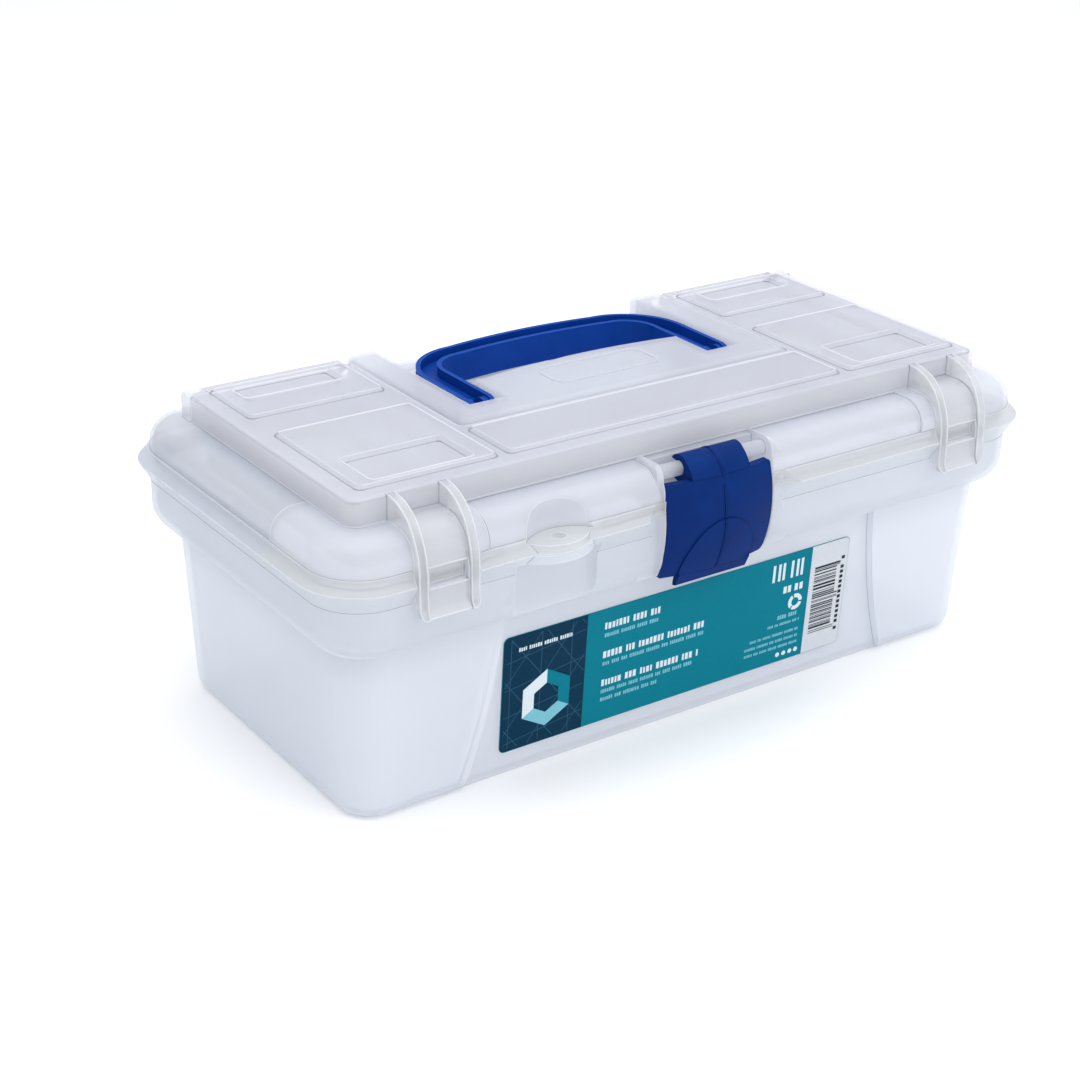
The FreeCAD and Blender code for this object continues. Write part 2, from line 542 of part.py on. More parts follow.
def handle_plan(inset):
    """Plan outline of the handle as a face, with its sides moved in by inset."""
    z = 0.0
    back = HANDLE_Y - 8.0
    out, inn = HANDLE_HX - inset, HANDLE_IN + inset
    out_end, out_mid = GRIP_OUT_END - inset, GRIP_OUT_MID - inset
    in_end, in_mid = GRIP_IN_END + inset, GRIP_IN_MID + inset
    r_out, r_in = GRIP_OUT_R - inset, GRIP_IN_R + inset
    k = 1.0 - math.sqrt(0.5)

    def line(a, b):
        return Part.LineSegment(V(*a, z), V(*b, z)).toShape()

    def arc(a, m, b):
        return Part.Arc(V(*a, z), V(*m, z), V(*b, z)).toShape()

    edges = [
        line((-out, back), (-out, out_end - r_out)),
        arc((-out, out_end - r_out), (-out + k * r_out, out_end - k * r_out), (-out + r_out, out_end)),
        arc((-out + r_out, out_end), (0, out_mid), (out - r_out, out_end)),
        arc((out - r_out, out_end), (out - k * r_out, out_end - k * r_out), (out, out_end - r_out)),
        line((out, out_end - r_out), (out, back)),
        line((out, back), (inn, back)),
        line((inn, back), (inn, in_end - r_in)),
        arc((inn, in_end - r_in), (inn - k * r_in, in_end - k * r_in), (inn - r_in, in_end)),
        arc((inn - r_in, in_end), (0, in_mid), (-inn + r_in, in_end)),
        arc((-inn + r_in, in_end), (-inn + k * r_in, in_end - k * r_in), (-inn, in_end - r_in)),
        line((-inn, in_end - r_in), (-inn, back)),
        line((-inn, back), (-out, back)),
    ]
    return Part.Face(Part.Wire(edges))


def make_handle():
    z0, z1 = HANDLE_Z - HANDLE_H / 2, HANDLE_Z + HANDLE_H / 2

    def layer(inset, low, high):
        face = handle_plan(inset)
        face.translate(V(0, 0, low))
        return face.extrude(V(0, 0, high - low))

    side = slab(-70, 70, HANDLE_Y, 60, z0, z1).fuse(rod(HANDLE_H / 2, -70, 70, HANDLE_Y, HANDLE_Z))
    handle = layer(0, z0, z1).common(side)
    web_top = HANDLE_Z + 1.9
    handle = handle.cut([layer(HANDLE_RIM, web_top, z1 + 1), layer(HANDLE_RIM, z0 - 1, web_top - HANDLE_WEB)])
    for x0, x1 in ((HANDLE_IN, HANDLE_IN + 3.9), (HANDLE_HX - 3.1, HANDLE_HX)):
        ear = rod(HANDLE_H / 2 - 0.7, x0, x1, HANDLE_Y, HANDLE_Z)
        handle = handle.fuse(both_sides(ear))
    pin = rod(HANDLE_PIN_R, HANDLE_HX - 1, HANDLE_HX + HANDLE_PIN_L, HANDLE_Y, HANDLE_Z)
    return handle.fuse(both_sides(pin))


def latch_plate(lift=0.0):
    """Plate curved in both directions, as a loft through sections across its width."""
    wires = []
    for i in range(5):
        share = -1.0 + i * 0.5
        x = share * LATCH_HX
        bulge = LATCH_CROWN * (1.0 - share ** 2) + lift
        back = LATCH_T - LATCH_HOLLOW * (1.0 - share ** 2)
        top, mid, low = ((y - bulge, z) for y, z in (LATCH_TOP, LATCH_MID, LATCH_BOTTOM))
        back_top, back_mid, back_low = ((y + back, z) for y, z in (LATCH_TOP, LATCH_MID, LATCH_BOTTOM))
        wires.append(Part.Wire([
            Part.Arc(V(x, *top), V(x, *mid), V(x, *low)).toShape(),
            Part.LineSegment(V(x, *low), V(x, *back_low)).toShape(),
            Part.Arc(V(x, *back_low), V(x, *back_mid), V(x, *back_top)).toShape(),
            Part.LineSegment(V(x, *back_top), V(x, *top)).toShape(),
        ]))
    return Part.makeLoft(wires, True, False)


def ellipse_prism(half, rise):
    """Elliptical cylinder along Y, round the foot of the latch's face."""
    unit = Part.makeCylinder(1.0, 20.0, V(0, 0, 0), V(0, 1, 0))
    stretch = FreeCAD.Matrix()
    stretch.scale(half, 1.0, rise)
    prism = unit.transformGeometry(stretch)
    prism.translate(V(0, -85, ARCH_Z))
    return prism


def relieved_plate():
    """The latch's plate with a raised arch at its foot and a fine line down its middle."""
    plate = latch_plate()
    corners = [e for e in plate.Edges if e.BoundBox.XLength < 0.01 and e.BoundBox.ZLength < 0.01
               and e.BoundBox.YLength > 1]
    plate = plate.makeFillet(LATCH_CORNER, corners)
    arch = latch_plate(ARCH_LIFT).common(ellipse_prism(ARCH_HX, ARCH_RISE))
    crown = ARCH_Z + ARCH_RISE
    low_line = slab(-LINE_HX, LINE_HX, -85, -65, LATCH_BOTTOM[1], crown)
    high_line = slab(-LINE_HX, LINE_HX, -85, -65, crown - 0.5, LATCH_TOP[1] - 3.0)
    lines = [latch_plate(ARCH_LIFT + LINE_LIFT).common(low_line), latch_plate(LINE_LIFT).common(high_line)]
    return plate.fuse([arch] + lines)


def latch_neck(half, lift):
    """Barrel round the bar and the crowned neck that joins it to the plate."""
    barrel = rod(LATCH_BARREL_R + lift, -half, half, LATCH_Y, LATCH_Z)
    wires = []
    for share in (-1.0, -0.5, 0.0, 0.5, 1.0):
        x = share * half
        bulge = LATCH_CROWN * (1.0 - (x / LATCH_HX) ** 2) + lift
        start, via, end = ((LATCH_Y, LATCH_Z + LATCH_BARREL_R + lift), (-67.9 - 0.7 * bulge, 103.9),
                           (-70.5 - bulge, 99.4))
        rest = [end, (-71.2 - bulge, 96.0), (-70.0, 95.6), (-69.0, 98.2), (LATCH_Y, LATCH_Z - 2), start]
        arc = Part.Arc(V(x, *start), V(x, *via), V(x, *end)).toShape()
        wires.append(Part.Wire([arc] + list(Part.makePolygon([V(x, *p) for p in rest]).Edges)))
    return barrel.fuse(Part.makeLoft(wires, True, False))


def make_latch():
    lip_path = [(-71.9, 66.0), (-71.9, 64.4), (-69.9, 60.2), (-68.7, 60.0), (-68.6, 61.0), (-69.6, 66.0)]
    lip = side_profile(lip_path, -LATCH_LIP_HX, LATCH_LIP_HX)
    hook = side_profile([(-69.6, 66.0), (-67.9, 64.6), (-67.9, 63.6), (-69.6, 63.0)], -10, 10)
    latch = relieved_plate().fuse([latch_neck(LATCH_NECK_HX, 0.0), latch_neck(LINE_HX, LINE_LIFT), lip, hook])
    mouth = side_profile([(LATCH_Y, LATCH_Z + 1.9), (-58, LATCH_Z + 3.2), (-58, LATCH_Z - 3.2),
                          (LATCH_Y, LATCH_Z - 1.9)], -20, 20)
    bore = rod(LATCH_BAR_R + RUN, -20, 20, LATCH_Y, LATCH_Z)
    return latch.cut([bore, mouth])


def make_label():
    """Thin sheet stuck to the sunk front panel, leaning with it."""
    z0, z1 = LABEL_Z0, LABEL_Z1
    lean = side_profile([(panel_y(z0), z0), (panel_y(z1), z1), (panel_y(z1) - LABEL_T, z1),
                         (panel_y(z0) - LABEL_T, z0)], LABEL_X - LABEL_HX, LABEL_X + LABEL_HX)
    outline = rounded_wire(LABEL_HX, (z1 - z0) / 2, 2.2, 0, LABEL_X, 0)
    block = Part.Face(outline).extrude(V(0, 0, 30))
    block.rotate(V(0, 0, 0), V(1, 0, 0), 90)
    block.translate(V(0, -45, (z0 + z1) / 2))
    return lean.common(block)


def make_hinge_pin(side):
    x = side * HINGE_X
    return rod(HINGE_PIN_R, x - HINGE_HX + 0.5, x + HINGE_HX - 0.5, HINGE_Y, HINGE_Z)


def save(name, shape):
    solids = shape.removeSplitter().Solids
    result = solids[0] if len(solids) == 1 else Part.makeCompound(solids)
    print(f"{name:18s} solids {len(solids)} valid {result.isValid()} volume {result.Volume / 1000:8.2f} cm3")
    result.exportStep(f"parts/{name}.step")


os.makedirs("parts", exist_ok=True)
save("tub", make_tub())
save("lid", make_lid())
save("storage_cover", make_cover())
save("carry_handle", make_handle())
save("front_latch", make_latch())
save("front_label", make_label())
save("hinge_pin_left", make_hinge_pin(-1))
save("hinge_pin_right", make_hinge_pin(1))
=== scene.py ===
import math
import random

import bpy
import bmesh
from mathutils import Matrix, Vector


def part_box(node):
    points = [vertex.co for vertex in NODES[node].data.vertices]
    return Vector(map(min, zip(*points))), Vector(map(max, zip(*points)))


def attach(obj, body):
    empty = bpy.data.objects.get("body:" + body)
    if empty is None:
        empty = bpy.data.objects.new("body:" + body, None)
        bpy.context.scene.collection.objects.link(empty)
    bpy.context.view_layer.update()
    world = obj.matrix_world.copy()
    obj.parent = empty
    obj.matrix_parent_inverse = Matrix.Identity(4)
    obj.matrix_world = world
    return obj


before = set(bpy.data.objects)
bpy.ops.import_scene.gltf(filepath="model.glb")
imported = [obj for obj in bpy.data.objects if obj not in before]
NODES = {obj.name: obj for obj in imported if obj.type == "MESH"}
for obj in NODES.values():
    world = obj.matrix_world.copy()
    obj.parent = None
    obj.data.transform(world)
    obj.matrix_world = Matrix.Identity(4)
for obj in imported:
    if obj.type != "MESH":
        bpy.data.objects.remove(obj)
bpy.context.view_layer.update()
MM = 0.001
INK_ROUGHNESS = 0.42


# ---- node helpers --------------------------------------------------------------------------------
def new_material(name):
    """Empty node material, its tree and its output."""
    mat = bpy.data.materials.new(name)
    mat.use_nodes = True
    tree = mat.node_tree
    tree.nodes.clear()
    out = tree.nodes.new("ShaderNodeOutputMaterial")
    return mat, tree, out


def noise(tree, scale, detail=3.0, rough=0.5):
    """Noise in the object's own coordinates, in cycles per metre."""
    where = tree.nodes.new("ShaderNodeTexCoord").outputs["Object"]
    node = tree.nodes.new("ShaderNodeTexNoise")
    node.inputs["Scale"].default_value = scale
    node.inputs["Detail"].default_value = detail
    node.inputs["Roughness"].default_value = rough
    tree.links.new(where, node.inputs["Vector"])
    return node.outputs["Fac"]


def remap(tree, value, low, high, from_low=0.3, from_high=0.7):
    """Stretch a value from one range to another, clamped."""
    node = tree.nodes.new("ShaderNodeMapRange")
    node.inputs["From Min"].default_value = from_low
    node.inputs["From Max"].default_value = from_high
    node.inputs["To Min"].default_value = low
    node.inputs["To Max"].default_value = high
    tree.links.new(value, node.inputs["Value"])
    return node.outputs["Result"]


def blend_colours(tree, factor, first, second):
    node = tree.nodes.new("ShaderNodeMix")
    node.data_type = "RGBA"
    node.inputs["A"].default_value = (*first, 1.0)
    node.inputs["B"].default_value = (*second, 1.0)
    tree.links.new(factor, node.inputs["Factor"])
    return node.outputs["Result"]


def height_blend(tree, upper, lower, z0, z1):
    """Blend from one colour below z0 to another above z1."""
    split = tree.nodes.new("ShaderNodeSeparateXYZ")
    tree.links.new(tree.nodes.new("ShaderNodeTexCoord").outputs["Object"], split.inputs[0])
    node = tree.nodes.new("ShaderNodeMix")
    node.data_type = "RGBA"
    tree.links.new(remap(tree, split.outputs["Z"], 0.0, 1.0, z0, z1), node.inputs["Factor"])
    node.inputs["A"].default_value = (*lower, 1.0)
    tree.links.new(upper, node.inputs["B"])
    return node.outputs["Result"]


def bump(tree, value, strength, distance):
    node = tree.nodes.new("ShaderNodeBump")
    node.inputs["Strength"].default_value = strength
    node.inputs["Distance"].default_value = distance
    tree.links.new(value, node.inputs["Height"])
    return node.outputs["Normal"]


def principled(tree, colour=None, roughness=None, normal=None, **values):
    """Principled shader with links for what varies and plain values for the rest."""
    node = tree.nodes.new("ShaderNodeBsdfPrincipled")
    for key, value in values.items():
        node.inputs[key.replace("_", " ")].default_value = value
    for name, source in (("Base Color", colour), ("Roughness", roughness), ("Normal", normal)):
        if source is not None:
            tree.links.new(source, node.inputs[name])
    return node


# ---- materials -----------------------------------------------------------------------------------
def far_shade(tree, colour, shade_patch, x_from, y_from):
    """Painted shade: a darker colour further out than x_from to either side and further back than y_from.
    """
    split = tree.nodes.new("ShaderNodeSeparateXYZ")
    tree.links.new(tree.nodes.new("ShaderNodeTexCoord").outputs["Object"], split.inputs[0])
    out_from_middle = tree.nodes.new("ShaderNodeMath")
    out_from_middle.operation = "ABSOLUTE"
    tree.links.new(split.outputs["X"], out_from_middle.inputs[0])
    at_end = remap(tree, out_from_middle.outputs[0], 0.0, 1.0, x_from - 0.0008, x_from + 0.0007)
    behind = remap(tree, split.outputs["Y"], 0.0, 1.0, y_from - 0.0004, y_from + 0.0003)
    both = tree.nodes.new("ShaderNodeMath")
    both.operation = "MULTIPLY"
    tree.links.new(at_end, both.inputs[0])
    tree.links.new(behind, both.inputs[1])
    node = tree.nodes.new("ShaderNodeMix")
    node.data_type = "RGBA"
    tree.links.new(both.outputs[0], node.inputs["Factor"])
    tree.links.new(colour, node.inputs["A"])
    node.inputs["B"].default_value = (*shade_patch, 1.0)
    return node.outputs["Result"]


def milky_plastic(name, milk, rough, clear, low=None, split=(0.052, 0.070), tint=(0.975, 0.98, 0.99),
                  shade_patch=None):
    """Translucent polypropylene: a milky body that lets light through, partly see-through.

    rough is its roughness, clear the share that is plain see-through, tint the colour of that share.
    low is a second milk colour for the piece below the heights in split. The third colour is painted shade,
    a darker milk given with the x and y from which it takes over.
    """
    mat, tree, out = new_material(name)
    cloud = noise(tree, 22.0, 3.0, 0.55)
    wave = noise(tree, 120.0, 2.0, 0.5)
    roughness = remap(tree, cloud, rough * 0.85, rough * 1.15)
    normal = bump(tree, wave, 0.04, 0.0004)
    colour = blend_colours(tree, cloud, milk, tuple(min(1.0, c * 1.02) for c in milk))
    if low:
        colour = height_blend(tree, colour, low, *split)
    if shade_patch:
        colour = far_shade(tree, colour, *shade_patch)
    body = principled(tree, colour, roughness, normal, IOR=1.49)
    through = tree.nodes.new("ShaderNodeBsdfTranslucent")
    tree.links.new(colour, through.inputs["Color"])
    tree.links.new(normal, through.inputs["Normal"])
    window = tree.nodes.new("ShaderNodeBsdfTransparent")
    window.inputs["Color"].default_value = (*tint, 1.0)
    milky = tree.nodes.new("ShaderNodeMixShader")
    milky.inputs[0].default_value = 0.5
    tree.links.new(body.outputs[0], milky.inputs[1])
    tree.links.new(through.outputs[0], milky.inputs[2])
    both = tree.nodes.new("ShaderNodeMixShader")
    both.inputs[0].default_value = clear
    tree.links.new(milky.outputs[0], both.inputs[1])
    tree.links.new(window.outputs[0], both.inputs[2])
    tree.links.new(both.outputs[0], out.inputs["Surface"])
    return mat


def solid_plastic(name, dark, light, rough, gloss):
    """Opaque coloured plastic with faint clouds and a fine grain."""
    mat, tree, out = new_material(name)
    cloud = noise(tree, 60.0, 4.0, 0.55)
    grain = noise(tree, 1400.0, 2.0, 0.6)
    colour = blend_colours(tree, remap(tree, cloud, 0.0, 1.0), dark, light)
    roughness = remap(tree, cloud, rough * 0.85, rough * 1.2)
    normal = bump(tree, grain, 0.12, 0.0002)
    shader = principled(tree, colour, roughness, normal, IOR=1.49, Specular_IOR_Level=gloss)
    tree.links.new(shader.outputs[0], out.inputs["Surface"])
    return mat


def printed(name, colour):
    """Matt printing ink with fine flecks."""
    mat, tree, out = new_material(name)
    fleck = noise(tree, 2600.0, 2.0, 0.5)
    cloud = noise(tree, 45.0, 3.0, 0.5)
    dark = tuple(c * 0.93 for c in colour)
    light = tuple(min(1.0, c * 1.06) for c in colour)
    tone = blend_colours(tree, remap(tree, fleck, 0.0, 1.0), dark, light)
    roughness = remap(tree, cloud, INK_ROUGHNESS * 0.85, INK_ROUGHNESS * 1.15)
    normal = bump(tree, fleck, 0.05, 0.0001)
    shader = principled(tree, tone, roughness, normal, IOR=1.47, Specular_IOR_Level=0.04)
    tree.links.new(shader.outputs[0], out.inputs["Surface"])
    return mat


TUB = milky_plastic("tub_plastic", (0.80, 0.83, 0.87), 0.36, 0.40, low=(0.915, 0.94, 0.98))
# The lid's ends, past x 0.1343 and behind y -0.0305, get a darker milk: painted shade on the end faces.
LID = milky_plastic("lid_plastic", (0.84, 0.85, 0.90), 0.22, 0.54, low=(0.785, 0.79, 0.785),
                    split=(0.0935, 0.0950), shade_patch=((0.74, 0.755, 0.80), 0.1343, -0.0305))
# The cover's back, behind y 0.0508 over the hinge barrels, gets a much darker milk: painted shade along
# that strip.
COVER = milky_plastic("cover_plastic", (0.885, 0.893, 0.945), 0.18, 0.60, low=(0.85, 0.845, 0.845),
                      split=(0.1125, 0.1140), tint=(0.955, 0.96, 0.98),
                      shade_patch=((0.58, 0.585, 0.62), -0.01, 0.0508))
PIN = milky_plastic("pin_plastic", (0.80, 0.83, 0.88), 0.35, 0.30)
# Pale and dark copies of the milky plastic for the edge beads: painted highlights along convex edges,
# painted shade along inner creases.
EDGE_HIGHLIGHT = milky_plastic("edge_painted_highlight", (0.91, 0.915, 0.94), 0.2, 0.52)
EDGE_SHADE = milky_plastic("edge_painted_shade", (0.60, 0.605, 0.63), 0.3, 0.58)
HANDLE = solid_plastic("handle_plastic", (0.0022, 0.036, 0.245), (0.0035, 0.045, 0.29), 0.44, 0.08)
LATCH = solid_plastic("latch_plastic", (0.0012, 0.017, 0.115), (0.0022, 0.025, 0.15), 0.5, 0.05)
# Lighter blue for the handle's edge beads is a painted highlight; darker blue for the latch's edge beads is
# painted shade.
HANDLE_EDGE_HIGHLIGHT = solid_plastic("handle_edge_highlight", (0.005, 0.070, 0.38), (0.008, 0.085, 0.43), 0.4, 0.08)
LATCH_EDGE_SHADE = solid_plastic("latch_edge_shade", (0.0008, 0.013, 0.095), (0.0014, 0.018, 0.12), 0.45, 0.05)
NAVY = printed("label_navy", (0.003, 0.030, 0.064))
TEAL = printed("label_teal", (0.002, 0.170, 0.236))
GREY = printed("label_grey", (0.56, 0.59, 0.64))
WHITE = printed("label_white", (0.62, 0.70, 0.75))
PALE = printed("label_pale", (0.18, 0.46, 0.56))
THIN = printed("label_thin", (0.022, 0.085, 0.150))
INK = printed("label_ink", (0.03, 0.035, 0.045))


def paint(obj, mat):
    obj.data.materials.clear()
    obj.data.materials.append(mat)


for node, mat in (("tub", TUB), ("lid", LID), ("storage_cover", COVER), ("carry_handle", HANDLE),
                  ("front_latch", LATCH), ("hinge_pin_left", PIN), ("hinge_pin_right", PIN)):
    paint(NODES[node], mat)


# ---- edges: beads that carry painted highlights and painted shade --------------------------------
MIN_EDGE = 5e-5
SHARP = math.radians(28)
BEAD_SINK = 0.35
BEAD_OVERLAP = 0.3
HANDLE_AXIS_Y, HANDLE_AXIS_Z = -0.0015, 0.1087


def sharp_edges(obj, angle):
    """Edges of a node whose shading breaks by more than angle, as (ends, outward direction, convex)."""
    mesh = obj.data
    key_of, points, index = {}, [], []
    for vert in mesh.vertices:
        key = tuple(round(c * 1e6) for c in vert.co)
        if key not in key_of:
            key_of[key] = len(points)
            points.append(vert.co.copy())
        index.append(key_of[key])
    beside = {}
    for poly in mesh.polygons:
        corners = [(index[mesh.loops[k].vertex_index], mesh.corner_normals[k].vector)
                   for k in poly.loop_indices]
        for (i, ni), (j, nj) in zip(corners, corners[1:] + corners[:1]):
            if i != j:
                low_normal, high_normal = (ni, nj) if i < j else (nj, ni)
                beside.setdefault((min(i, j), max(i, j)), []).append((poly, low_normal, high_normal))
    found = []
    limit = math.cos(angle)
    for (i, j), sides in beside.items():
        if len(sides) != 2:
            continue
        (one, one_i, one_j), (two, two_i, two_j) = sides
        if max(one_i.dot(two_i), one_j.dot(two_j), one.normal.dot(two.normal)) > limit:
            continue
        outward = one.normal + two.normal
        if outward.length < 1e-4 or (points[j] - points[i]).length < MIN_EDGE:
            continue
        convex = (two.center - one.center).dot(one.normal) < 0
        found.append((points[i], points[j], outward.normalized(), convex))
    return found


def edge_bead(name, obj, edges, radius, mat, body):
    """Fine four-sided bead along edges of a node, whose colour paints a highlight or shade line there."""
    mesh = bpy.data.meshes.new(name)
    verts, faces = [], []
    for start, end, outward, convex in edges:
        along = (end - start).normalized()
        across = along.cross(outward)
        shift = outward * (-BEAD_SINK * radius if convex else 0.0)
        first = len(verts)
        for point, reach in ((start, -BEAD_OVERLAP), (end, BEAD_OVERLAP)):
            centre = point + shift + along * radius * reach
            for ray in (outward, across, -outward, -across):
                verts.append(obj.matrix_world @ (centre + ray * radius))
        faces.append([first + 3, first + 2, first + 1, first])
        faces.append([first + 4, first + 5, first + 6, first + 7])
        for i in range(4):
            j = (i + 1) % 4
            faces.append([first + i, first + j, first + 4 + j, first + 4 + i])
    mesh.from_pydata([tuple(v) for v in verts], [], faces)
    mesh.update()
    bead = bpy.data.objects.new(name, mesh)
    bpy.context.scene.collection.objects.link(bead)
    paint(bead, mat)
    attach(bead, body)


def plain_lid(x, y, z):
    """Where the lid's edges are too soft for a bead: latch cheeks, hinge lugs and the emblem."""
    cheek = 0.0245 < abs(x) < 0.036 and y < -0.0695
    lug = y > 0.045 and z > 0.1045
    emblem = z > 0.1155 and abs(x) < 0.024 and abs(y + 0.002) < 0.010
    return cheek or lug or emblem


def plain_tub(x, y, z):
    """Where the tub's edges are too soft for a bead: latch cheeks and the pocket below the padlock tab."""
    cheek = 0.0245 < abs(x) < 0.036 and y < -0.062
    pocket = -0.089 < x < -0.046 and y < -0.060 and z < 0.0865
    return cheek or pocket


def plain_cover(x, y, z):
    """The hinge barrels along the cover's back."""
    return y > 0.0512


def plain_handle(x, y, z):
    """The pivot pins, which turn in the lid's bores."""
    return math.hypot(y - HANDLE_AXIS_Y, z - HANDLE_AXIS_Z) < 0.0032


# Columns: node, body, bead radius, bead material for convex edges (painted highlight; for the latch painted
# shade), bead material for concave edges (painted shade), where no bead goes.
BEADS = (("storage_cover", "cover_body", 0.00032, EDGE_HIGHLIGHT, EDGE_SHADE, plain_cover),
         ("lid", "lid_body", 0.00016, EDGE_HIGHLIGHT, EDGE_SHADE, plain_lid),
         ("tub", "tub_body", 0.00016, EDGE_HIGHLIGHT, EDGE_SHADE, plain_tub),
         ("carry_handle", "handle_body", 0.00016, HANDLE_EDGE_HIGHLIGHT, None, plain_handle),
         ("front_latch", "latch_body", 0.00012, LATCH_EDGE_SHADE, None, None))
for node, body, radius, light, dark, plain in BEADS:
    sharp = [e for e in sharp_edges(NODES[node], SHARP) if not (plain and plain(*((e[0] + e[1]) / 2)))]
    edge_bead(f"{node}_painted_edge_lines", NODES[node], [e for e in sharp if e[3]], radius, light, body)
    if dark:
        edge_bead(f"{node}_painted_crease_shade", NODES[node], [e for e in sharp if not e[3]], radius, dark, body)


# ---- printed label -------------------------------------------------------------------------------
LOW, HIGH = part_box("front_label")
LEAN = 0.0496
WORD_GAP = 1.2
LABEL_FRONT_LOW = -0.0580 - LEAN * LOW[2] - 0.00025


def label_point(x, z, lift):
    """Point on the label's face at x and z in metres, raised by lift."""
    return (x, LABEL_FRONT_LOW - LEAN * (z - LOW[2]) - lift, z)


def flat_piece(name, outlines, mat, lift, thick=0.00006):
    """Thin printed piece made of closed outlines given as (x, z) in millimetres."""
    mesh = bpy.data.meshes.new(name)
    bm = bmesh.new()
    for outline in outlines:
        front = [bm.verts.new(label_point(x * MM, z * MM, lift + thick)) for x, z in outline]
        back = [bm.verts.new(label_point(x * MM, z * MM, lift)) for x, z in outline]
        bm.faces.new(front)
        bm.faces.new(list(reversed(back)))
        for i in range(len(outline)):
            j = (i + 1) % len(outline)
            bm.faces.new((front[j], front[i], back[i], back[j]))
    bmesh.ops.recalc_face_normals(bm, faces=bm.faces)
    bm.to_mesh(mesh)
    bm.free()
    obj = bpy.data.objects.new(name, mesh)
    bpy.context.scene.collection.objects.link(obj)
    paint(obj, mat)
    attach(obj, "tub_body")


def rect(x0, x1, z0, z1):
    return [(x0, z0), (x1, z0), (x1, z1), (x0, z1)]


def ring(outer, inner):
    """Band between two outlines with the same number of points, as four-sided pieces."""
    n = len(outer)
    return [[outer[i], outer[(i + 1) % n], inner[(i + 1) % n], inner[i]] for i in range(n)]


def regular(cx, cz, radius, sides, turn=0.0):
    """Corners of a regular polygon."""
    angles = [turn + 2 * math.pi * i / sides for i in range(sides)]
    return [(cx + radius * math.cos(a), cz + radius * math.sin(a)) for a in angles]


def words(x0, x1, z, height, seed):
    """Row of short upright bars in groups, that stands for a line of print."""
    rng = random.Random(seed)
    bars = []
    x = x0
    while x < x1 - 0.3 * height:
        for _ in range(rng.randint(3, 8)):
            wide = height * rng.uniform(0.28, 0.52)
            if x + wide > x1:
                break
            top = z + height / 2 * rng.choice((1.0, 1.0, 0.8))
            bars.append(rect(x, x + wide, z - height / 2, top))
            x += wide + 0.2 * height
        x += WORD_GAP * height * 0.45
    return bars


def line(x0, z0, x1, z1, width):
    """Outline of a straight stroke."""
    dx, dz = x1 - x0, z1 - z0
    length = math.hypot(dx, dz)
    nx, nz = -dz / length * width / 2, dx / length * width / 2
    return [(x0 - nx, z0 - nz), (x1 - nx, z1 - nz), (x1 + nx, z1 + nz), (x0 + nx, z0 + nz)]


def clip_line(a, b, x0, x1, z0, z1):
    """The part of a line that lies inside a rectangle, or None."""
    t0, t1 = 0.0, 1.0
    dx, dz = b[0] - a[0], b[1] - a[1]
    for p, q in ((-dx, a[0] - x0), (dx, x1 - a[0]), (-dz, a[1] - z0), (dz, z1 - a[1])):
        if abs(p) < 1e-9:
            if q < 0:
                return None
            continue
        r = q / p
        if p < 0:
            t0 = max(t0, r)
        else:
            t1 = min(t1, r)
    if t0 >= t1:
        return None
    return (a[0] + t0 * dx, a[1] + t0 * dz), (a[0] + t1 * dx, a[1] + t1 * dz)


def rounded_left(x0, x1, z0, z1, r, steps=8):
    """Rectangle whose two left corners are round."""
    points = [(x1, z0), (x1, z1)]
    for cz, start in ((z1 - r, math.pi / 2), (z0 + r, math.pi)):
        for i in range(steps + 1):
            a = start + math.pi / 2 * i / steps
            points.append((x0 + r + r * math.cos(a), cz + r * math.sin(a)))
    return list(reversed(points))


def rounded_right(x0, x1, z0, z1, r):
    """Rectangle whose two right corners are round."""
    return [(x0 + x1 - x, z) for x, z in reversed(rounded_left(x0, x1, z0, z1, r))]


X0, X1 = LOW[0] / MM, HIGH[0] / MM
Z0, Z1 = LOW[2] / MM, HIGH[2] / MM
NAVY_END, GREY_START = -45.2, 56.3
EDGE = 0.15
paint(NODES["front_label"], TEAL)
flat_piece("label_navy_field", [rounded_left(X0 + EDGE, NAVY_END, Z0 + EDGE, Z1 - EDGE, 2.1)], NAVY, 0.0)
flat_piece("label_grey_field", [rounded_right(GREY_START, X1 - EDGE, Z0 + EDGE, Z1 - EDGE, 2.1)], GREY, 0.0)


def lattice():
    """Thin lines that cross the dark field at three angles."""
    cx, cz = (X0 + NAVY_END) / 2, (Z0 + Z1) / 2
    strips = []
    for angle, pitch, shift in ((52, 11.5, 3.0), (128, 11.5, -2.0), (8, 10.5, 4.0), (90, 12.5, 1.5)):
        a = math.radians(angle)
        ux, uz = math.cos(a), math.sin(a)
        for k in range(-4, 5):
            px, pz = cx - uz * (k * pitch + shift), cz + ux * (k * pitch + shift)
            ends = clip_line((px - 60 * ux, pz - 60 * uz), (px + 60 * ux, pz + 60 * uz),
                             X0 + 1.2, NAVY_END - 0.6, Z0 + 1.2, Z1 - 1.2)
            if ends and math.dist(*ends) > 2.0:
                strips.append(line(*ends[0], *ends[1], 0.28))
    return strips


for number, strip in enumerate(lattice()):
    flat_piece(f"label_lattice_{number:02d}", [strip], THIN, 0.00006 + 0.000002 * number, thick=0.00002)

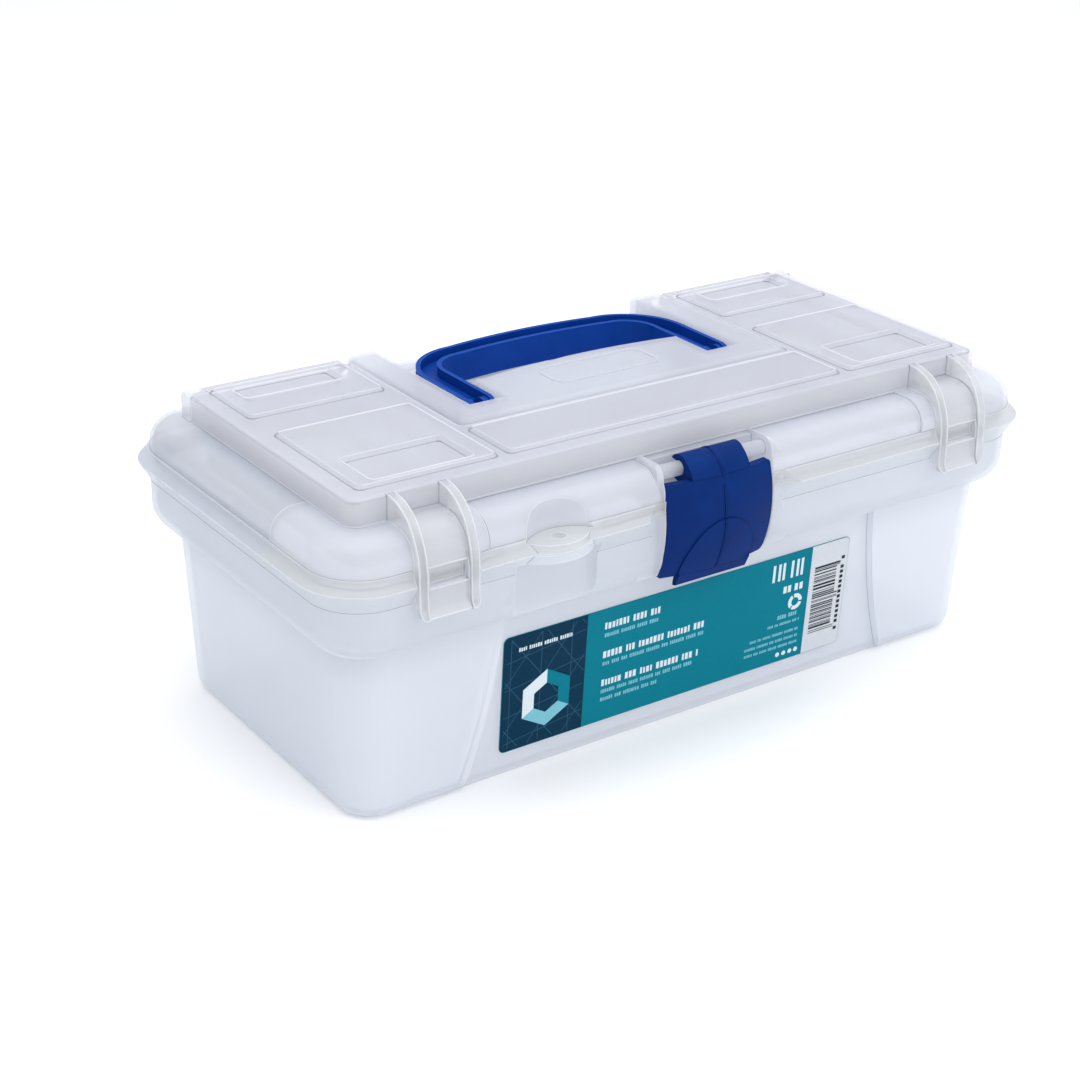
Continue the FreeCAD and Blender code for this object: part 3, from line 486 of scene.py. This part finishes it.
flat_piece("label_title", words(-73.4, -50.8, 47.6, 1.5, 3), WHITE, 0.00012)
LINES = [(-37.6, -13.2, 46.6, 2.6, 5), (-37.5, -13.6, 42.9, 1.5, 6), (-37.6, 7.2, 35.2, 2.6, 7),
         (-37.6, 7.4, 31.6, 1.5, 8), (-37.5, 6.4, 23.9, 2.6, 9), (-37.5, 3.2, 20.4, 1.5, 10),
         (-37.5, -11.0, 17.2, 1.5, 11)]
for number, (x0, x1, z, height, seed) in enumerate(LINES):
    mat = WHITE if height > 2 else PALE
    flat_piece(f"label_row_{number}", words(x0, x1, z, height, seed), mat, 0.00001)
flat_piece("label_size_mark", [rect(x, x + 1.15, 43.1, 50.1) for x in (37.9, 40.5, 42.6, 46.6, 49.2, 51.3)],
           WHITE, 0.00001)
flat_piece("label_size_small", [rect(x, x + 1.5, 37.2, 40.0) for x in (43.9, 46.0, 49.3, 51.6)],
           WHITE, 0.00001)
loop_out, loop_in = regular(50.2, 32.4, 3.3, 24), regular(50.2, 32.4, 1.7, 24)
bands = ring(loop_out, loop_in)
flat_piece("label_loop", [bands[i] for i in range(24) if i % 8 != 7], WHITE, 0.00001)
NOTES = [(42.5, 52.8, 27.4, 1.7, 21), (38.1, 53.4, 24.4, 1.1, 22), (30.1, 53.4, 20.4, 1.1, 23),
         (27.8, 53.6, 17.6, 1.1, 24), (28.0, 53.8, 14.9, 1.1, 25)]
for number, (x0, x1, z, height, seed) in enumerate(NOTES):
    flat_piece(f"label_note_{number}", words(x0, x1, z, height, seed), PALE, 0.00001)
flat_piece("label_dots", [regular(x, 11.4, 0.95, 14) for x in (44.4, 47.4, 50.4, 53.2)], WHITE, 0.00001)


def stripes():
    """Uneven dark stripes across the grey field."""
    rng = random.Random(4)
    bars = []
    z = 16.2
    while z < 43.6:
        height = rng.choice((0.25, 0.25, 0.5, 0.8))
        long = z < 17.5 or z > 42.4 or abs(z - 30) < 1.2
        bars.append(rect(58.6, 71.0 if long else 69.4, z, z + height))
        z += height + rng.choice((0.3, 0.3, 0.55, 0.8))
    return bars


flat_piece("label_stripes", stripes(), INK, 0.00007)
FIGURE_ROWS = (14.6, *(17.6 + 2.1 * i for i in range(12)), 44.6)
flat_piece("label_figures", [rect(71.4, 72.9, z, z + 1.3) for z in FIGURE_ROWS], INK, 0.00007)


def mark():
    """Generic sign: a hexagon folded from three flat faces."""
    cx, cz, r = -61.2, 25.6, 11.2
    corner = regular(cx, cz, r, 6, math.pi / 6)
    inner = regular(cx, cz, r * 0.52, 6, math.pi / 6)
    faces = ring(corner, inner)
    for name, mat, picks in (("label_mark_light", WHITE, (1, 2)), ("label_mark_mid", TEAL, (5, 0)),
                             ("label_mark_low", PALE, (3, 4))):
        flat_piece(name, [faces[i] for i in picks], mat, 0.00014)


mark()

# ---- stage ---------------------------------------------------------------------------------------
floor_mesh = bpy.data.meshes.new("floor")
bm = bmesh.new()
bmesh.ops.create_grid(bm, x_segments=1, y_segments=1, size=6.0)
bm.to_mesh(floor_mesh)
bm.free()
floor = bpy.data.objects.new("floor", floor_mesh)
bpy.context.scene.collection.objects.link(floor)
floor.location.z = -0.0002
floor_mat, tree, out = new_material("floor_paper")
tone = blend_colours(tree, noise(tree, 3.0), (0.86, 0.86, 0.87), (0.90, 0.90, 0.91))
paper = principled(tree, tone, Specular_IOR_Level=0.2)
paper.inputs["Roughness"].default_value = 0.6
tree.links.new(paper.outputs[0], out.inputs["Surface"])
paint(floor, floor_mat)

scene = bpy.context.scene
world = bpy.data.worlds.new("studio")
scene.world = world
world.use_nodes = True
sky = world.node_tree.nodes["Background"]
sky.inputs["Color"].default_value = (0.97, 0.985, 1.0, 1.0)
sky.inputs["Strength"].default_value = 0.70


def soft_box(name, place, target, size, power, colour=(1.0, 1.0, 1.0)):
    """Rectangular lamp that faces target."""
    lamp = bpy.data.lights.new(name, "AREA")
    lamp.shape = "RECTANGLE"
    lamp.size, lamp.size_y = size
    lamp.energy = power
    lamp.color = colour
    obj = bpy.data.objects.new(name, lamp)
    bpy.context.scene.collection.objects.link(obj)
    obj.location = place
    obj.rotation_euler = (Vector(target) - Vector(place)).to_track_quat("-Z", "Y").to_euler()


CENTRE = (0.0, 0.0, 0.05)
soft_box("key", (0.3, -1.6, 1.0), CENTRE, (2.0, 1.4), 11.0, (1.0, 0.995, 0.98))
soft_box("top", (0.0, 0.0, 1.7), CENTRE, (3.0, 2.4), 38.0)

camera_data = bpy.data.cameras.new("camera")
camera_data.lens = 69.47
camera_data.sensor_width = 36.0
camera_data.clip_start = 0.01
camera = bpy.data.objects.new("camera", camera_data)
scene.collection.objects.link(camera)
right = Vector((0.8202, -0.5717, 0.0209))
up = Vector((0.2239, 0.3544, 0.9079))
forward = Vector((0.5264, 0.7400, -0.4187))
camera.matrix_world = Matrix.Translation((-0.4248, -0.5652, 0.3716)) @ Matrix(
    (right, up, -forward)).transposed().to_4x4()
scene.camera = camera
scene.view_settings.view_transform = "Standard"
scene.view_settings.look = "None"
